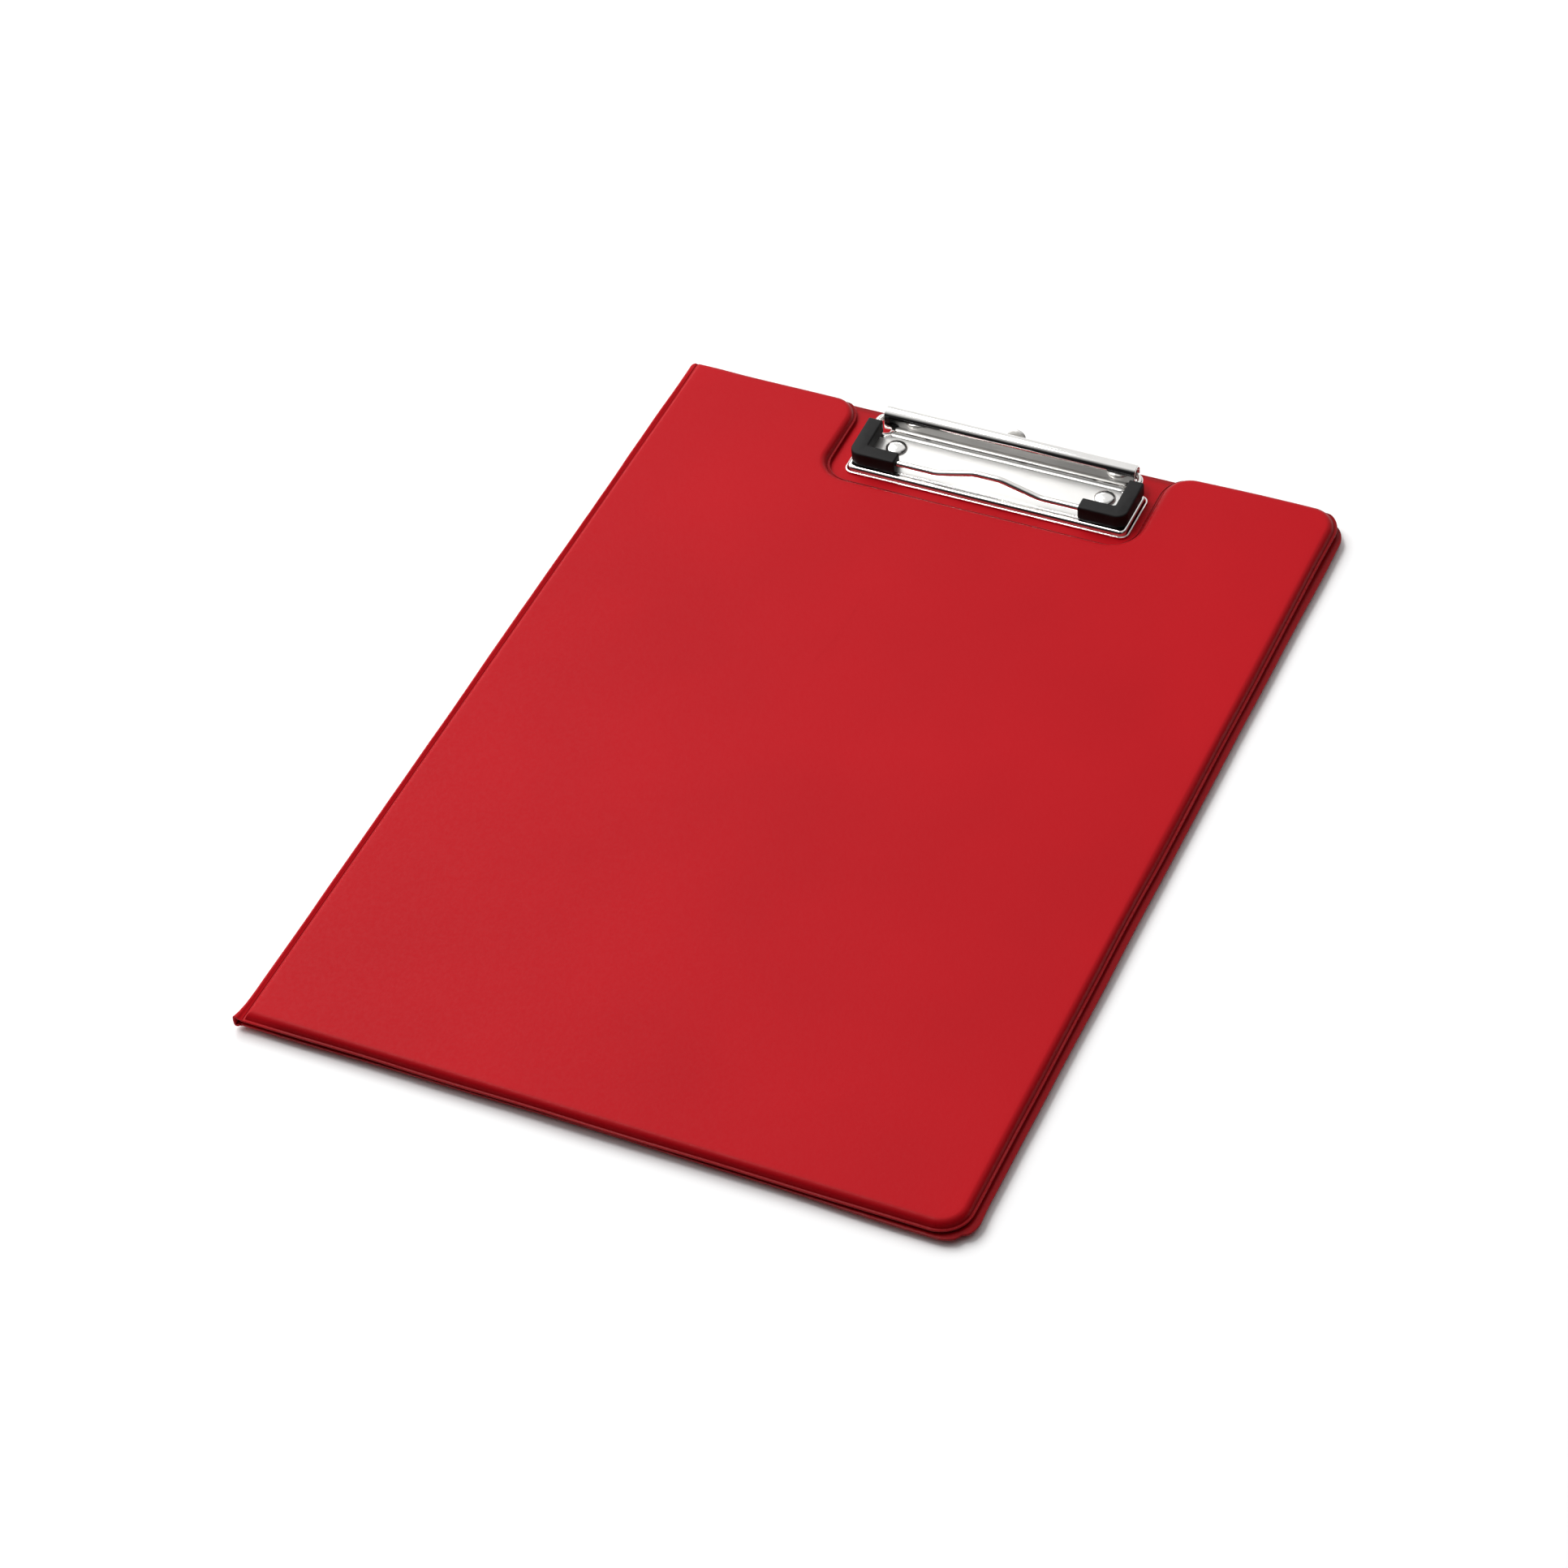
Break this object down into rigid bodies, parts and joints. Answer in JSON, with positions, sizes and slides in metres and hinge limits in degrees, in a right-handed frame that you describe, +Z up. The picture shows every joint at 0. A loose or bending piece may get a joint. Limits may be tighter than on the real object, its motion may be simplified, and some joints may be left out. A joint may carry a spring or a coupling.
{
  "type": "fold-over clipboard",
  "caption": "Fold-over A4 clipboard: two padded film-covered boards on a film spine, with a sprung wire clip in a notch of the front cover.",
  "frame": {"origin": "centre of the closed clipboard's underside, on the outer film of the back cover", "axes": "+X from the spine to the free edge, +Y towards the clip, +Z up through the front cover"},
  "size_m": [0.2354, 0.3194, 0.0128],
  "materials": {
    "outer_film": "fine-grained semi-matte red film",
    "inner_film": "fine-grained matte red film",
    "greyboard": "rough board",
    "nickel": "bright nickel plate",
    "spring_steel": "drawn wire",
    "rubber": "matte black"
  },
  "bodies": {
    "back_board": {"back_outer_skin": "outer_film", "back_stiffener": "greyboard", "back_inner_skin": "inner_film", "clip_base_plate": "nickel", "rivet_left": "nickel", "rivet_right": "nickel", "rivet_washer_left": "nickel", "rivet_washer_right": "nickel", "hinge_pin": "spring_steel"},
    "spine": {"spine_outer_film": "outer_film", "spine_inner_film": "inner_film"},
    "front_cover": {"front_outer_skin": "outer_film", "front_stiffener": "greyboard", "front_inner_skin": "inner_film", "front_pocket": "inner_film"},
    "clip_lever": {"lever_bar": "nickel", "wire_bail": "nickel", "rubber_corner_left": "rubber", "rubber_corner_right": "rubber", "torsion_spring_left": "spring_steel", "torsion_spring_right": "spring_steel"}
  },
  "joints": [
    {"name": "spine_fold", "type": "hinge", "parent": "back_board", "child": "spine", "pos_m": [-0.11725, 0, 0.00145], "axis": [0, -1, 0], "range_deg": [0, 179.5]},
    {"name": "cover_fold", "type": "hinge", "parent": "spine", "child": "front_cover", "pos_m": [-0.11725, 0, 0.00485], "axis": [0, -1, 0], "range_deg": [0, 179.5]},
    {"name": "clip_open", "type": "hinge", "parent": "back_board", "child": "clip_lever", "pos_m": [0.00265, 0.15245, 0.0087], "axis": [-1, 0, 0], "range_deg": [0, 40], "stiffness_Nm_per_rad": 0.2}
  ],
  "couplings": [
    {"joint": "spine_fold", "follows": "cover_fold", "ratio": 1}
  ]
}
